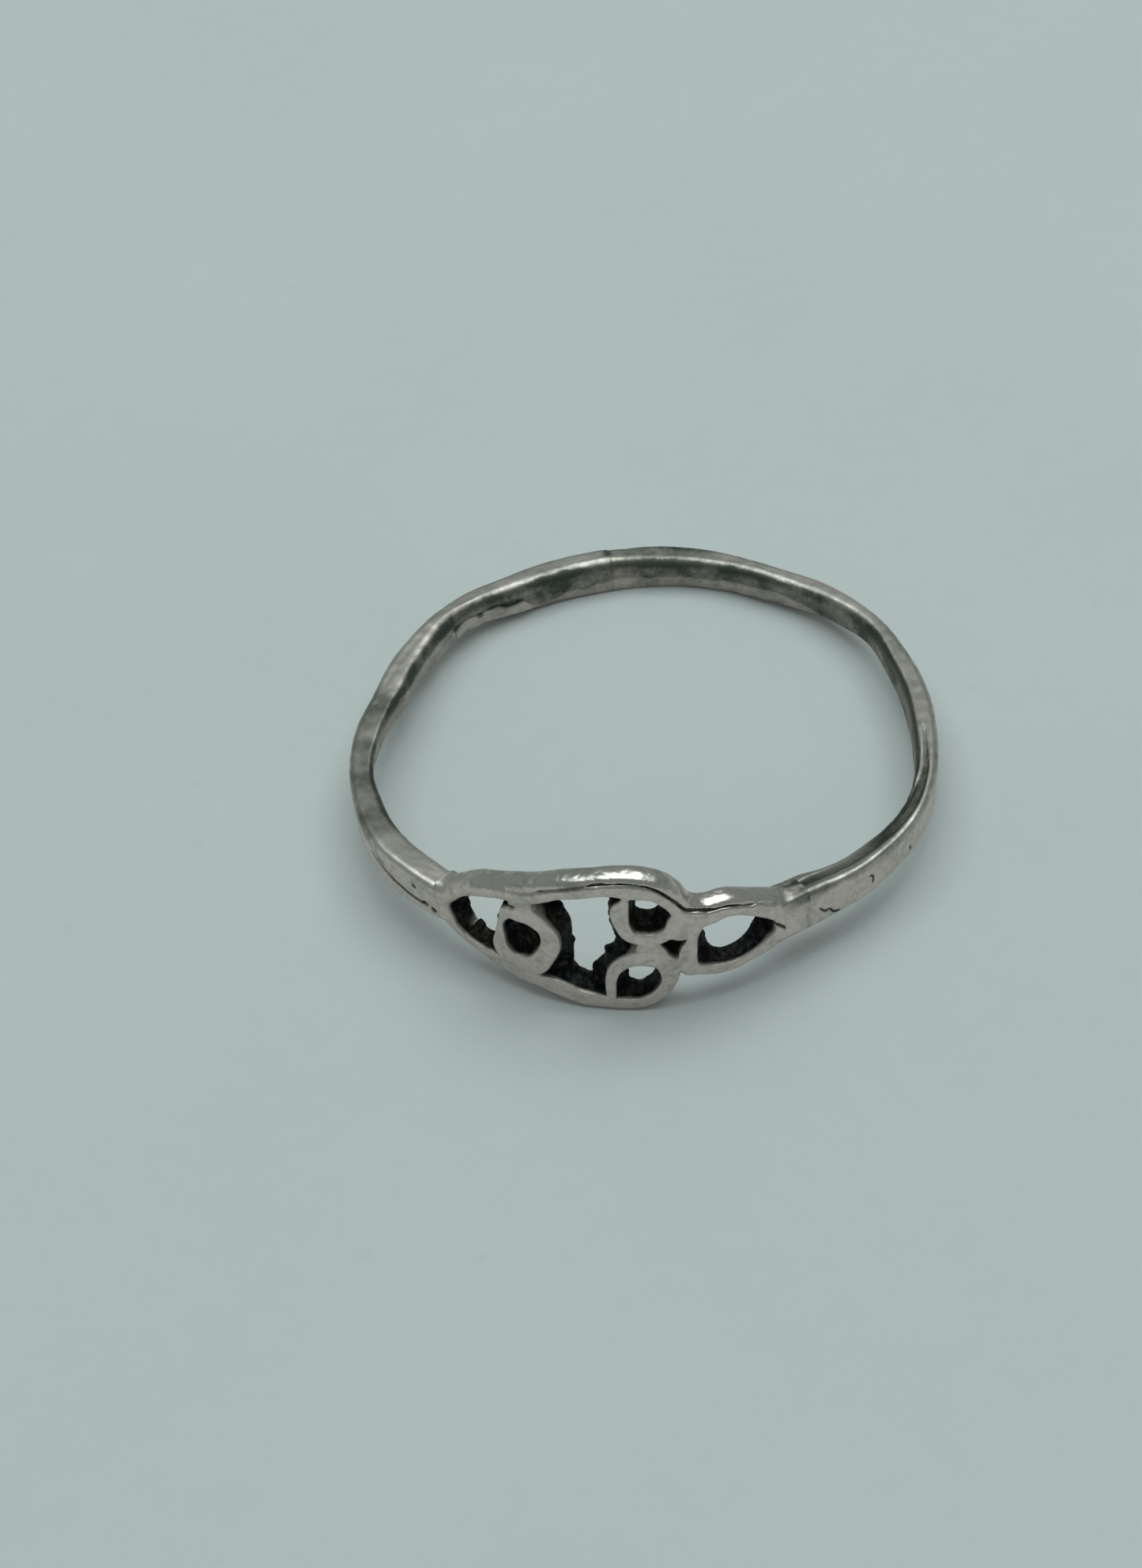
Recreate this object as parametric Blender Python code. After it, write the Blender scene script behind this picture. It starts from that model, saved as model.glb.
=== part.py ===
"""Openwork finger ring, built up from silver wire and solder, lying on a table.

The crest (the openwork face) points to -Y. Local ring frame: the ring's axis is local Z, its centre is
the origin, and a parent empty leans it back so that it rests on the lower rail and on the back of the
shank. The crest is drawn flat, as wires on a sheet with s along the hoop and z along the ring's axis,
and the sheet is then bent round the hoop.
"""

from math import cos, degrees, hypot, radians, sin

import bmesh
import bpy
from mathutils import Vector

MM = 0.001

# The hoop, seen along the ring's axis: (angle in degrees, radius of the middle of the metal in mm).
HOOP_PLAN = (
    (-90, 8.70), (-68, 8.48), (-52, 8.34), (-36, 8.70), (-20, 9.02), (-8, 9.01), (12, 8.98), (24, 9.02),
    (38, 9.16), (50, 9.13), (66, 9.02), (90, 9.10), (104, 9.07), (125, 9.08), (143, 9.13), (156, 9.04),
    (168, 8.96), (180, 9.11), (190, 9.18), (202, 9.01), (218, 8.94), (236, 8.60), (252, 8.66),
)
CREST_ANGLE = -90.0      # degrees, the middle of the crest
CREST_RADIUS = 9.2       # turns s along the crest into an angle
CREST_FACE = 0.5         # from the middle of the metal out to the face of the crest
CREST_THICKNESS = 0.85   # from the face of the crest to its back
CREST_ENDS = (-6.15, 6.0)  # where the wires of the crest meet the shank
SEAM_ANGLE = 102.0       # degrees, where the two halves of the shank were closed

# The shank: (angle, reach outwards and reach inwards from the plan, height along the axis, offset along the
# axis, how steeply its upper side falls inwards, how far the top of its outer side leans inwards, how far the
# foot of its inner side leans outwards), in mm.
SHANK = (
    (-52.6, 0.57, 0.76, 1.46, -0.08, 0.3, 0.16, 0.16), (-49, 0.56, 0.78, 1.48, -0.06, 0.3, 0.14, 0.16),
    (-44, 0.54, 0.65, 1.44, -0.05, 0.34, 0.1, 0.1), (-30, 0.43, 0.45, 1.34, -0.02, 0.3, 0.0, 0.0),
    (-20, 0.38, 0.35, 1.36, 0.0, 0.16, 0.0, 0.0), (-8, 0.34, 0.34, 1.38, 0.0, 0.04, 0.0, 0.0),
    (2, 0.3, 0.46, 1.37, 0.0, 0.0, 0.0, 0.02), (16, 0.31, 0.47, 1.32, 0.02, 0.0, 0.0, 0.04),
    (26, 0.26, 0.48, 1.16, 0.1, 0.0, 0.0, 0.08), (38, 0.24, 0.41, 0.92, 0.23, 0.0, 0.0, 0.02),
    (46, 0.25, 0.46, 1.0, 0.17, 0.0, 0.0, 0.12), (60, 0.4, 0.45, 1.08, -0.03, 0.0, 0.0, 0.16),
    (72, 0.37, 0.44, 1.17, -0.05, 0.0, 0.0, 0.12), (79, 0.52, 0.45, 1.17, -0.08, 0.0, 0.0, 0.15),
    (92, 0.51, 0.48, 1.21, -0.09, 0.0, 0.0, 0.12), (104, 0.5, 0.43, 1.27, -0.06, 0.0, 0.0, 0.03),
    (114, 0.48, 0.47, 1.25, -0.06, 0.0, 0.0, 0.08), (125, 0.42, 0.48, 1.22, -0.05, 0.0, 0.0, 0.15),
    (134, 0.5, 0.38, 1.1, 0.02, 0.0, 0.0, 0.18), (143, 0.32, 0.49, 1.1, 0.14, 0.0, 0.0, 0.1),
    (150, 0.3, 0.68, 1.13, 0.11, 0.0, 0.0, 0.14), (157, 0.29, 0.79, 1.17, 0.08, 0.0, 0.0, 0.28),
    (166, 0.26, 0.8, 1.23, 0.03, 0.0, 0.0, 0.32), (174, 0.27, 0.69, 1.28, 0.01, 0.0, 0.0, 0.33),
    (181, 0.27, 0.6, 1.3, 0.0, 0.0, 0.0, 0.25), (190, 0.28, 0.5, 1.32, 0.0, 0.04, 0.0, 0.14),
    (196, 0.38, 0.42, 1.33, 0.01, 0.06, 0.0, 0.04), (204, 0.55, 0.38, 1.36, 0.04, 0.1, 0.0, 0.0),
    (213, 0.61, 0.44, 1.42, 0.09, 0.13, 0.0, 0.0), (222, 0.58, 0.5, 1.48, 0.14, 0.16, 0.0, 0.0),
    (231.8, 0.58, 0.4, 1.38, 0.12, 0.2, 0.0, 0.0),
)
SHANK_CORNER = 0.22
WIRE_CORNER = 0.18
LARGEST_CORNER = 0.35    # the most that a corner may take of a side
SOLDER_FILM = 0.16       # length of a solder joint along the hoop
GAP = 0.03               # clearance that keeps touching pieces separate solids
TOOL_REACH = 8.0         # how far a cutter runs past the faces of the crest, in gaps

# The wires of the crest: (s, z, width), in mm.
UPPER_RAIL = (
    (-6.15, 0.6, 0.8), (-5.6, 1.0, 0.6), (-4.9, 1.45, 0.52), (-4.1, 1.8, 0.54), (-3.4, 1.99, 0.68),
    (-2.7, 2.23, 0.72), (-1.9, 2.57, 0.63), (-1.1, 2.81, 0.65), (-0.3, 2.97, 0.7), (0.45, 2.9, 0.82),
    (1.14, 2.71, 0.68), (1.62, 2.24, 0.68), (1.98, 1.66, 0.7), (2.6, 1.35, 0.78), (3.3, 1.44, 0.62),
    (4.0, 1.19, 0.58), (4.7, 0.78, 0.7), (5.3, 0.38, 0.78), (6.0, 0.18, 0.76),
)
LOWER_RAIL = (
    (-6.15, -0.26, 0.78), (-5.7, -0.6, 0.5), (-5.3, -0.99, 0.36), (-4.8, -1.14, 0.34), (-4.2, -1.3, 0.5),
    (-3.4, -1.48, 0.52), (-2.6, -1.58, 0.54), (-2.1, -1.66, 0.66), (-1.45, -1.89, 0.62),
    (-0.8, -1.98, 0.56), (0.0, -2.04, 0.44), (0.6, -1.97, 0.44), (1.08, -1.68, 0.5), (1.38, -1.22, 0.52),
    (1.44, -0.7, 0.64), (1.2, -0.25, 0.58), (0.75, -0.05, 0.58), (0.2, -0.12, 0.5), (-0.2, -0.5, 0.44),
    (-0.36, -0.95, 0.38), (-0.4, -1.62, 0.32),
)
EYE_WIRE = (
    (2.3, 1.05, 0.5), (2.18, 0.5, 0.36), (2.05, 0.1, 0.56), (2.0, -0.35, 0.62), (2.05, -0.72, 0.56),
    (2.45, -0.94, 0.44), (3.0, -1.08, 0.42), (3.5, -1.08, 0.42), (4.0, -0.96, 0.44), (4.5, -0.82, 0.5),
    (5.0, -0.62, 0.66), (5.5, -0.5, 0.74), (6.0, -0.5, 0.68),
)
UPPER_SCROLL = (
    (0.3, 2.6, 0.14), (0.21, 2.4, 0.28), (0.05, 2.08, 0.52), (0.03, 1.75, 0.54), (0.1, 1.35, 0.46),
    (0.3, 0.94, 0.42), (0.72, 0.77, 0.44), (1.15, 0.77, 0.46), (1.5, 1.0, 0.48), (1.68, 1.4, 0.55),
)
LEAF_COLLET = (
    (-3.6, 1.1, 0.4), (-2.9, 1.22, 0.64), (-2.33, 0.85, 0.55), (-2.17, 0.3, 0.62), (-2.4, -0.38, 0.6),
    (-2.8, -0.9, 0.66), (-3.5, -1.0, 0.64), (-3.94, -0.6, 0.6), (-3.92, 0.0, 0.36), (-3.83, 0.6, 0.24),
)
CENTRE_SOLDER = ((0.5, 0.37, 0.6), (0.9, 0.36, 0.6), (1.25, 0.25, 0.5))
WAIST_SOLDER = ((1.88, 0.72, 0.4), (1.92, 1.25, 0.5))
LEAF_SOLDER = ((-3.15, 1.3, 0.8), (-3.05, 1.75, 0.76))
WIRE_STEP = 0.22         # spacing of the sections along a wire
SHANK_STEP = 4.0         # degrees between the sections of the shank

# A smear of solder on the inside of the shank: angles in degrees, depth and height in mm.
SMEAR_ANGLES = (122.0, 140.0)
SMEAR_DEPTH = 0.14
SMEAR_HEIGHT = 0.70
SMEAR_END_SHARE = 0.45   # its height at its ends, as a share of its height in the middle
SMEAR_CORNER = 0.04

# How the ring lies: leaned back, lifted, and moved so that its box is centred over the origin.
LEAN = 5.2               # degrees
LIFT = 1.46
SHIFT = (0.045, -0.124)

SILVER = (0.42, 0.42, 0.39)
SILVER_BRIGHT = (0.60, 0.60, 0.56)
SOLDER_GREY = (0.33, 0.35, 0.31)
SILVER_ROUGHNESS = 0.35
SOLDER_ROUGHNESS = 0.5
SHARP_ANGLE = 35         # degrees
TABLE_SIZE = (40, 40, 4)


def slopes(knots, values):
    """The slope at each knot of a smooth curve through the values, weighted by the spans on each side."""
    last = len(knots) - 1
    chords = [(values[i + 1] - values[i]) / (knots[i + 1] - knots[i]) for i in range(last)]
    inner = [
        (chords[i - 1] * (knots[i + 1] - knots[i]) + chords[i] * (knots[i] - knots[i - 1]))
        / (knots[i + 1] - knots[i - 1])
        for i in range(1, last)
    ]
    return [chords[0], *inner, chords[-1]]


def hermite(knots, values, found, at):
    """The curve's value at one parameter, from the values and slopes at its knots."""
    i = max(k for k in range(len(knots) - 1) if knots[k] <= at or k == 0)
    span = knots[i + 1] - knots[i]
    t = (at - knots[i]) / span
    return (
        values[i] * (1 + 2 * t) * (1 - t) ** 2
        + found[i] * span * t * (1 - t) ** 2
        + values[i + 1] * t * t * (3 - 2 * t)
        + found[i + 1] * span * t * t * (t - 1)
    )


def smooth_path(points, closed=False):
    """Points about WIRE_STEP apart on a smooth curve through (s, z, width) points."""
    points = [Vector(p) for p in points]
    if closed:
        points = [points[-1], *points, points[0], points[1]]
    knots = [0.0]
    for a, b in zip(points, points[1:]):
        knots.append(knots[-1] + hypot(b.x - a.x, b.y - a.y) ** 0.5)
    found = slopes(knots, points)
    first, last = (1, len(points) - 2) if closed else (0, len(points) - 1)
    made = []
    for i in range(first, last):
        a, b = points[i], points[i + 1]
        parts = max(1, round(hypot(b.x - a.x, b.y - a.y) / WIRE_STEP))
        made += [
            hermite(knots, points, found, knots[i] + (knots[i + 1] - knots[i]) * j / parts)
            for j in range(parts)
        ]
    return made if closed else [*made, points[-1]]


def table_reader(rows):
    """A function that gives a smooth curve through the rows, from their first column."""
    knots = [row[0] for row in rows]
    columns = [[row[k] for row in rows] for k in range(1, len(rows[0]))]
    found = [slopes(knots, column) for column in columns]
    return lambda at: [hermite(knots, c, m, at) for c, m in zip(columns, found)]


def wrapped_plan():
    """The hoop's plan with a few rows repeated past each end, so that it closes smoothly."""
    before = [(a - 360, r) for a, r in HOOP_PLAN[-3:]]
    after = [(a + 360, r) for a, r in HOOP_PLAN[:3]]
    return table_reader((*before, *HOOP_PLAN, *after))


plan_of = wrapped_plan()
shank_of = table_reader(SHANK)


def hoop_radius(angle):
    """Radius of the middle of the metal at an angle in degrees."""
    return plan_of((angle + 90) % 360 - 90)[0]


def on_hoop(angle, outward, z):
    """A point of the ring: an angle in degrees, a distance out from the middle of the metal, a height."""
    r = hoop_radius(angle) + outward
    return Vector((r * cos(radians(angle)), r * sin(radians(angle)), z))


def on_crest(s, z, depth):
    """A point of the crest: its place on the flat sheet, and its depth below the face."""
    return on_hoop(CREST_ANGLE + degrees(s / CREST_RADIUS), CREST_FACE - depth, z)


def cut_corners(width, height, corner):
    """The outline of a rectangle about the origin with its corners cut off, anticlockwise."""
    w, h = width / 2, height / 2
    c = min(corner, LARGEST_CORNER * width, LARGEST_CORNER * height)
    return [
        (w - c, -h), (w, c - h), (w, h - c), (w - c, h), (c - w, h), (-w, h - c), (-w, c - h), (c - w, -h),
    ]


def loft(sections, closed=False):
    """A closed mesh through sections that have equal numbers of points."""
    bm = bmesh.new()
    rings = [[bm.verts.new(p * MM) for p in section] for section in sections]
    pairs = list(zip(rings, rings[1:]))
    if closed:
        pairs.append((rings[-1], rings[0]))
    else:
        bm.faces.new(rings[0])
        bm.faces.new(reversed(rings[-1]))
    for ring, following in pairs:
        for k in range(len(ring)):
            m = (k + 1) % len(ring)
            bm.faces.new((ring[k], following[k], following[m], ring[m]))
    bmesh.ops.triangulate(bm, faces=bm.faces[:])
    bmesh.ops.recalc_face_normals(bm, faces=bm.faces[:])
    return bm


def wire_mesh(points, closed=False, spare=0.0):
    """A wire of the crest, from its path. With spare, a tool that also clears that much round it."""
    path = smooth_path(points, closed)
    count = len(path)
    top, bottom = -TOOL_REACH * spare, CREST_THICKNESS + TOOL_REACH * spare
    sections = []
    for i, here in enumerate(path):
        before = path[i - 1] if i or closed else here
        after = path[(i + 1) % count] if i < count - 1 or closed else here
        run = Vector((after.x - before.x, after.y - before.y)).normalized()
        if min(abs(here.x - end) for end in CREST_ENDS) < GAP:
            run = Vector((1.0, 0.0))  # squarely against the shoulder's solder
        corner = 0.0 if spare else WIRE_CORNER
        outline = cut_corners(here.z + 2 * spare, bottom - top, corner)
        sections.append([
            on_crest(here.x - run.y * across, here.y + run.x * across, (top + bottom) / 2 + deep)
            for across, deep in outline
        ])
    return loft(sections, closed)


def inner_side(angle, up):
    """How far out from the plan the inner side of the shank lies at a height along the axis."""
    _, inner, height, rise, _, _, inner_lean = shank_of(angle)
    return inner_lean * (0.5 - (up - rise) / height) - inner


def shank_outline(angle):
    """The cross-section of the shank."""
    outer, inner, height, rise, slope, outer_lean, inner_lean = shank_of(angle)
    points = []
    for out, up in cut_corners(outer + inner, height, SHANK_CORNER):
        climb = up / height + 0.5
        outward = out + (outer - inner) / 2
        outward += inner_lean * (1 - climb) if out < 0 else -outer_lean * climb
        fall = slope * (outer - outward) if up > 0 else 0.0
        points.append(on_hoop(angle, outward, rise + up - fall))
    return points


def shank_mesh(start, end, step=SHANK_STEP):
    """A stretch of the shank between two angles."""
    parts = max(1, round((end - start) / step))
    return loft([shank_outline(start + (end - start) * i / parts) for i in range(parts + 1)])


def smear_mesh():
    """A thin smear of solder that follows the inside of the shank."""
    start, end = SMEAR_ANGLES
    parts = round((end - start) / SHANK_STEP)
    sections = []
    for i in range(parts + 1):
        angle = start + (end - start) * i / parts
        swell = SMEAR_END_SHARE + (1 - SMEAR_END_SHARE) * sin(radians(180 * i / parts))
        outline = cut_corners(SMEAR_DEPTH, SMEAR_HEIGHT * swell, SMEAR_CORNER)
        centre = -GAP - SMEAR_DEPTH / 2
        sections.append([on_hoop(angle, inner_side(angle, up) + centre + out, up) for out, up in outline])
    return loft(sections)


def metal(name, colour, roughness):
    """A metallic material."""
    made = bpy.data.materials.new(name)
    made.use_nodes = True
    shader = made.node_tree.nodes["Principled BSDF"]
    shader.inputs["Base Color"].default_value = (*colour, 1)
    shader.inputs["Metallic"].default_value = 1.0
    shader.inputs["Roughness"].default_value = roughness
    made.diffuse_color = (*colour, 1)
    return made


def add(name, bm, colour, parent, roughness=SILVER_ROUGHNESS):
    """An object made from a bmesh, with its own material, fixed to the ring's frame."""
    mesh = bpy.data.meshes.new(name)
    bm.to_mesh(mesh)
    bm.free()
    mesh.shade_smooth()
    mesh.set_sharp_from_angle(angle=radians(SHARP_ANGLE))
    mesh.materials.append(metal(name, colour, roughness))
    made = bpy.data.objects.new(name, mesh)
    made.parent = parent
    bpy.context.collection.objects.link(made)
    return made


def add_tool(name, bm, parent=None):
    """A cutter, which isn't part of the ring."""
    tool = add(name, bm, SILVER, parent)
    tool.hide_render = True
    tool.display_type = "WIRE"
    return tool


def cut(piece, *tools):
    """Takes the tools' shapes out of the piece."""
    for tool in tools:
        modifier = piece.modifiers.new(tool.name, "BOOLEAN")
        modifier.operation = "DIFFERENCE"
        modifier.object = tool


def ring_frame():
    """The empty that carries the ring and leans it on its lower rail."""
    frame = bpy.data.objects.new("ring_frame", None)
    frame.rotation_euler = (-radians(LEAN), 0, 0)
    frame.location = (SHIFT[0] * MM, SHIFT[1] * MM, LIFT * MM)
    bpy.context.collection.objects.link(frame)
    return frame


def table_tool():
    """A block whose top is the table: it wears a flat on what the ring stands on."""
    bm = bmesh.new()
    bmesh.ops.create_cube(bm, size=1.0)
    bmesh.ops.scale(bm, vec=[size * MM for size in TABLE_SIZE], verts=bm.verts[:])
    bmesh.ops.translate(bm, vec=(0, 0, -TABLE_SIZE[2] / 2 * MM), verts=bm.verts[:])
    return add_tool("table_tool", bm)


def add_crest(frame, table):
    """The wires of the crest. Each gives way to the ones soldered before it."""
    wires = {
        "upper_rail": (UPPER_RAIL, False, ()),
        "lower_rail": (LOWER_RAIL, False, ()),
        "leaf_collet": (LEAF_COLLET, True, ("upper_rail", "lower_rail")),
        "upper_scroll": (UPPER_SCROLL, False, ("upper_rail",)),
        "eye_wire": (EYE_WIRE, False, ("upper_rail", "lower_rail")),
    }
    solder = {
        "centre_solder": (CENTRE_SOLDER, ("lower_rail", "upper_scroll", "eye_wire")),
        "waist_solder": (WAIST_SOLDER, ("upper_rail", "upper_scroll", "eye_wire")),
        "leaf_solder": (LEAF_SOLDER, ("upper_rail", "leaf_collet")),
    }
    tools = {
        name: add_tool(name + "_tool", wire_mesh(path, closed, GAP), frame)
        for name, (path, closed, _) in wires.items()
    }
    for name, (path, closed, earlier) in wires.items():
        piece = add(name, wire_mesh(path, closed), SILVER_BRIGHT, frame)
        cut(piece, *(tools[other] for other in earlier))
        if name == "lower_rail":
            cut(piece, table)
    for name, (path, earlier) in solder.items():
        piece = add(name, wire_mesh(path), SOLDER_GREY, frame, SOLDER_ROUGHNESS)
        cut(piece, *(tools[other] for other in earlier))


def add_shank(frame, table):
    """The two halves of the shank, and the solder between them and the crest."""
    left, right = (CREST_ANGLE + degrees(s / CREST_RADIUS) for s in CREST_ENDS)
    film = degrees(SOLDER_FILM / CREST_RADIUS)
    gap = degrees(GAP / CREST_RADIUS)
    joints = {
        "right_shoulder_solder": right + gap,
        "back_seam_solder": SEAM_ANGLE,
        "left_shoulder_solder": left + 360 - film - gap,
    }
    for name, start in joints.items():
        piece = add(name, shank_mesh(start, start + film), SOLDER_GREY, frame, SOLDER_ROUGHNESS)
        if name == "back_seam_solder":
            cut(piece, table)
    halves = {
        "shank_right": (joints["right_shoulder_solder"] + film + gap, SEAM_ANGLE - gap),
        "shank_left": (SEAM_ANGLE + film + gap, joints["left_shoulder_solder"] - gap),
    }
    for name, (start, end) in halves.items():
        cut(add(name, shank_mesh(start, end), SILVER, frame), table)
    add("sizing_solder", smear_mesh(), SOLDER_GREY, frame, SOLDER_ROUGHNESS)


def main():
    for old in list(bpy.data.objects):
        bpy.data.objects.remove(old, do_unlink=True)
    frame = ring_frame()
    table = table_tool()
    add_crest(frame, table)
    add_shank(frame, table)


main()
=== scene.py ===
"""Openwork silver ring: its fine surface, worn metal, light and camera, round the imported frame.

The ring is sculpted as a solid field on an unrolled sheet, in three blocks that overlap: s runs along the
hoop, z along the ring's axis and d inwards from the face of the crest, all in millimetres. The field is
parted into the ring's pieces, each piece is meshed, and its points are rolled up round the hoop and laid
on the table. Lengths are in millimetres and angles in degrees, but where a comment says otherwise.
"""

from math import cos, radians, sin

import bpy
import numpy as np
from mathutils import Matrix, Vector


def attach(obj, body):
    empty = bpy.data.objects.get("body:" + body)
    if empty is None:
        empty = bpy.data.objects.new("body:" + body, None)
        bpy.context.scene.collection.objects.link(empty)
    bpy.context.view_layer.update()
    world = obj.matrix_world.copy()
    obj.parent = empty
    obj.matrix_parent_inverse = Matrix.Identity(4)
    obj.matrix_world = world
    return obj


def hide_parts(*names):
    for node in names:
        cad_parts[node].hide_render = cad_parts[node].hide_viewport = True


MM = 0.001

# The hoop, seen along the ring's axis: (angle in degrees, radius of the middle of the metal).
HOOP_PLAN = (
    (-90, 8.7), (-68, 8.48), (-52, 8.34), (-36, 8.7), (-20, 9.02), (-8, 9.01), (12, 8.98), (24, 9.02),
    (38, 9.16), (50, 9.13), (66, 9.02), (90, 9.1), (104, 9.07), (125, 9.08), (143, 9.13), (156, 9.04),
    (168, 8.96), (180, 9.11), (190, 9.18), (202, 9.01), (218, 8.94), (236, 8.6), (252, 8.66),
)
CREST_ANGLE = -90.0
CREST_RADIUS = 9.2
CREST_FACE = 0.5  # from the plan line out to the face of the crest
CREST_THICKNESS = 0.82
CREST_ENDS = (-6.15, 6.0)
SEAM_ANGLE = 102.0
LEAN = 5.2  # how far the hoop leans as it lies on the table
LIFT = 1.46
SHIFT = (0.045, -0.124)

# The shank: (angle, reach outwards and reach inwards from the plan, height along the axis, offset along
# the axis, how steeply its upper side falls inwards, rounding of its inner edge, how far the top of its
# outer side leans inwards, how far the foot of its inner side leans outwards).
SHANK = (
    (-60, 0.53, 0.72, 1.36, -0.08, 0.3, 0.24, 0.16, 0.1),
    (-56, 0.55, 0.84, 1.48, -0.06, 0.3, 0.22, 0.16, 0.14),
    (-52.6, 0.57, 0.82, 1.48, -0.07, 0.3, 0.22, 0.16, 0.16),
    (-49, 0.56, 0.78, 1.48, -0.06, 0.3, 0.22, 0.14, 0.16),
    (-44, 0.54, 0.65, 1.44, -0.05, 0.34, 0.24, 0.1, 0.1), (-30, 0.43, 0.45, 1.34, -0.02, 0.3, 0.24, 0, 0),
    (-20, 0.38, 0.35, 1.36, 0, 0.26, 0.24, 0, 0), (-8, 0.34, 0.34, 1.38, 0, 0.1, 0.24, 0, 0),
    (2, 0.3, 0.46, 1.37, 0, 0, 0.24, 0, 0.02), (16, 0.31, 0.47, 1.32, 0.02, 0, 0.24, 0, 0.04),
    (26, 0.26, 0.48, 1.16, 0.1, 0, 0.24, 0, 0.08), (38, 0.24, 0.41, 0.92, 0.23, 0, 0.34, 0, 0.02),
    (46, 0.29, 0.46, 1, 0.17, 0, 0.4, 0, 0.12), (60, 0.44, 0.45, 1.08, -0.03, 0, 0.44, 0, 0.16),
    (72, 0.41, 0.44, 1.17, -0.05, 0, 0.42, 0, 0.12), (79, 0.56, 0.45, 1.17, -0.08, 0, 0.44, 0, 0.15),
    (92, 0.55, 0.48, 1.21, -0.09, 0, 0.44, 0, 0.12), (104, 0.54, 0.43, 1.27, -0.06, 0, 0.44, 0, 0.03),
    (114, 0.52, 0.47, 1.25, -0.06, 0, 0.44, 0, 0.08), (125, 0.46, 0.48, 1.22, -0.05, 0, 0.44, 0, 0.15),
    (134, 0.54, 0.38, 1.1, 0.02, 0, 0.44, 0, 0.18), (143, 0.36, 0.49, 1.1, 0.14, 0, 0.5, 0, 0.1),
    (150, 0.34, 0.68, 1.13, 0.11, 0, 0.54, 0, 0.14), (157, 0.33, 0.79, 1.17, 0.08, 0, 0.54, 0, 0.28),
    (166, 0.26, 0.8, 1.23, 0.03, 0, 0.46, 0, 0.32), (174, 0.27, 0.69, 1.28, 0.01, 0, 0.26, 0, 0.33),
    (181, 0.27, 0.6, 1.3, 0, 0, 0.16, 0, 0.25), (190, 0.28, 0.5, 1.32, 0, 0.04, 0.18, 0, 0.14),
    (196, 0.38, 0.42, 1.33, 0.01, 0.06, 0.24, 0, 0.04), (204, 0.55, 0.38, 1.36, 0.04, 0.1, 0.3, 0, 0),
    (213, 0.61, 0.44, 1.42, 0.09, 0.13, 0.3, 0, 0), (222, 0.58, 0.5, 1.48, 0.14, 0.16, 0.3, 0, 0),
    (231.8, 0.58, 0.4, 1.38, 0.12, 0.2, 0.28, 0, 0), (240, 0.46, 0.36, 1.02, 0.14, 0.2, 0.28, 0, 0),
)
OUTER_ROUNDING = 0.26
LOWER_ROUNDING = 0.12
ROUNDING_CHANGE = 0.15  # how far to each side of the plan line the outer rounding turns into the inner

# The wires of the crest and the solder between them: (s, z, width).
WIRES = {
    "upper_rail": (
        (-6.15, 0.46, 0.72), (-5.6, 0.97, 0.56), (-4.9, 1.45, 0.47), (-4.1, 1.8, 0.52), (-3.4, 1.99, 0.68),
        (-2.7, 2.23, 0.72), (-1.9, 2.57, 0.63), (-1.1, 2.81, 0.65), (-0.3, 2.97, 0.7), (0.45, 2.9, 0.82),
        (1.14, 2.71, 0.68), (1.62, 2.24, 0.68), (1.98, 1.66, 0.7), (2.6, 1.35, 0.78), (3.3, 1.44, 0.62),
        (4, 1.19, 0.58), (4.7, 0.78, 0.7), (5.3, 0.38, 0.78), (6, 0.18, 0.76),
    ),
    "lower_rail": (
        (-6.15, -0.26, 0.78), (-5.88, -0.62, 0.5), (-5.4, -0.99, 0.31), (-4.8, -1.16, 0.31),
        (-4.2, -1.3, 0.5), (-3.4, -1.48, 0.52), (-2.6, -1.58, 0.54), (-2.1, -1.66, 0.66),
        (-1.45, -1.89, 0.62), (-0.8, -1.98, 0.56), (0, -2.04, 0.44), (0.6, -1.97, 0.44),
        (1.08, -1.68, 0.5), (1.38, -1.22, 0.52), (1.44, -0.7, 0.64), (1.2, -0.25, 0.58),
        (0.75, -0.05, 0.58), (0.2, -0.12, 0.5), (-0.2, -0.5, 0.44), (-0.36, -0.95, 0.38),
        (-0.4, -1.75, 0.3),
    ),
    "eye_wire": (
        (2.3, 1.05, 0.5), (2.18, 0.5, 0.36), (2.05, 0.1, 0.56), (2, -0.35, 0.62), (2.05, -0.74, 0.64),
        (2.4, -0.92, 0.44), (3, -1.08, 0.42), (3.5, -1.08, 0.4), (4, -0.96, 0.42), (4.5, -0.82, 0.5),
        (5, -0.62, 0.66), (5.5, -0.5, 0.74), (6, -0.5, 0.68),
    ),
    "upper_scroll": (
        (0.3, 2.72, 0.1), (0.21, 2.42, 0.26), (0.05, 2.08, 0.52), (0.03, 1.75, 0.54), (0.1, 1.35, 0.46),
        (0.3, 0.94, 0.42), (0.72, 0.77, 0.44), (1.15, 0.77, 0.46), (1.5, 1, 0.48), (1.68, 1.4, 0.55),
    ),
    "leaf_collet": (
        (-3.6, 1.1, 0.4), (-2.9, 1.22, 0.64), (-2.33, 0.85, 0.55), (-2.17, 0.3, 0.62),
        (-2.4, -0.38, 0.6), (-2.8, -0.9, 0.7), (-3.5, -1, 0.68), (-3.94, -0.6, 0.6),
        (-3.92, 0, 0.34), (-3.83, 0.6, 0.24), (-3.6, 1.1, 0.4),
    ),
    "centre_solder": (
        (0.72, 0.38, 0.56), (0.95, 0.34, 0.52), (1.08, 0.2, 0.5), (1.25, -0.15, 0.46), (1.5, -0.42, 0.48),
    ),
    "waist_solder": ((1.62, 0.93, 0.54), (1.9, 0.97, 0.86), (1.98, 1.3, 0.6)),
    "leaf_solder": ((-3.15, 1.3, 0.8), (-3.05, 1.7, 0.72)),
}

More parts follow.
